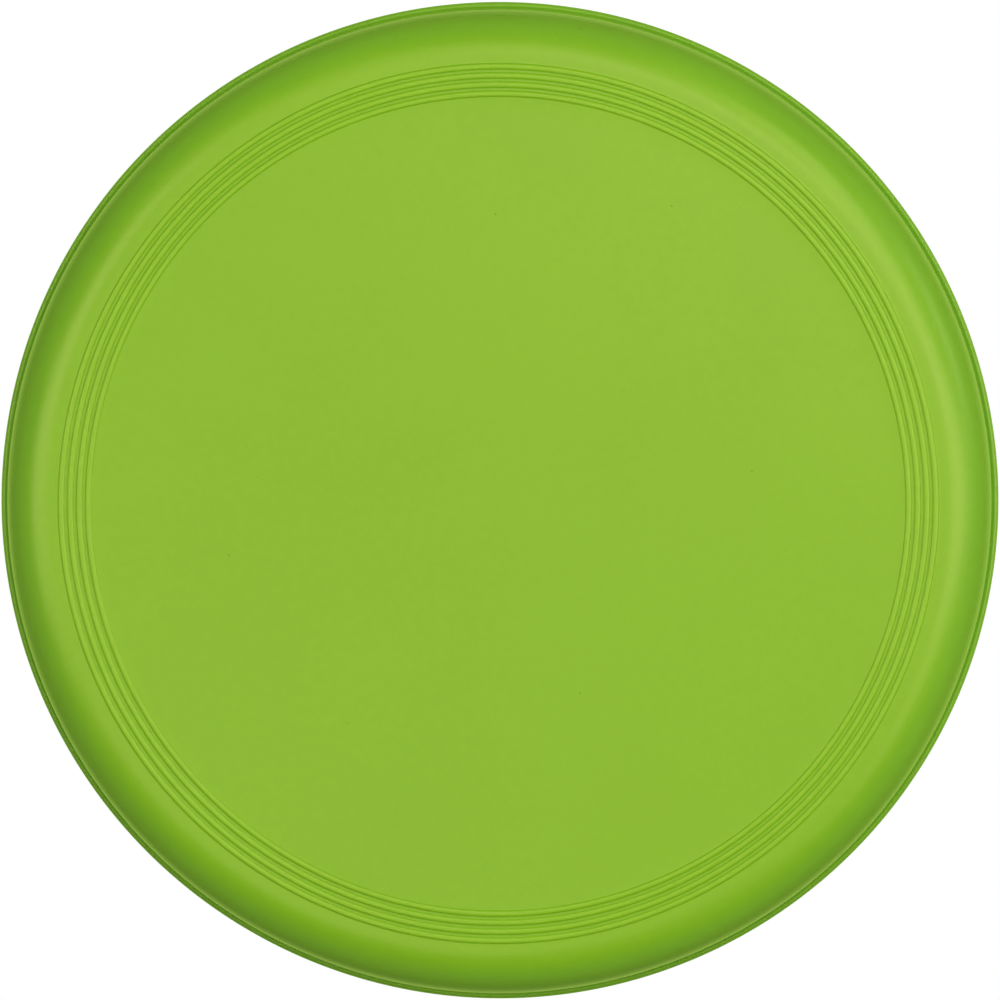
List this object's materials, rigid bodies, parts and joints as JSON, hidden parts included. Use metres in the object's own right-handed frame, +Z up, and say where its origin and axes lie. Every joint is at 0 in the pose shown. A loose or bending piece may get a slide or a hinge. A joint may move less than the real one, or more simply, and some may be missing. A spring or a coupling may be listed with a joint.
{
  "type": "flying disc",
  "caption": "Round one-piece plastic throwing disc: flat closed flight plate with raised concentric ribs, rounded shoulder, upright wall and a low beaded lip round an open hollow underside.",
  "frame": {"origin": "on the disc's axis, in the plane of the flat underside of the rim that it rests on", "axes": "+Z up along the disc's axis, out of the flight plate's top; the disc is round, so +X and +Y are any two radii at right angles"},
  "size_m": [0.23, 0.23, 0.022],
  "materials": {
    "lime_plastic": "fine matte moulded texture, lime green all through, one material for the whole moulding"
  },
  "bodies": {
    "root": {"disc_body": "lime_plastic"}
  },
  "joints": []
}
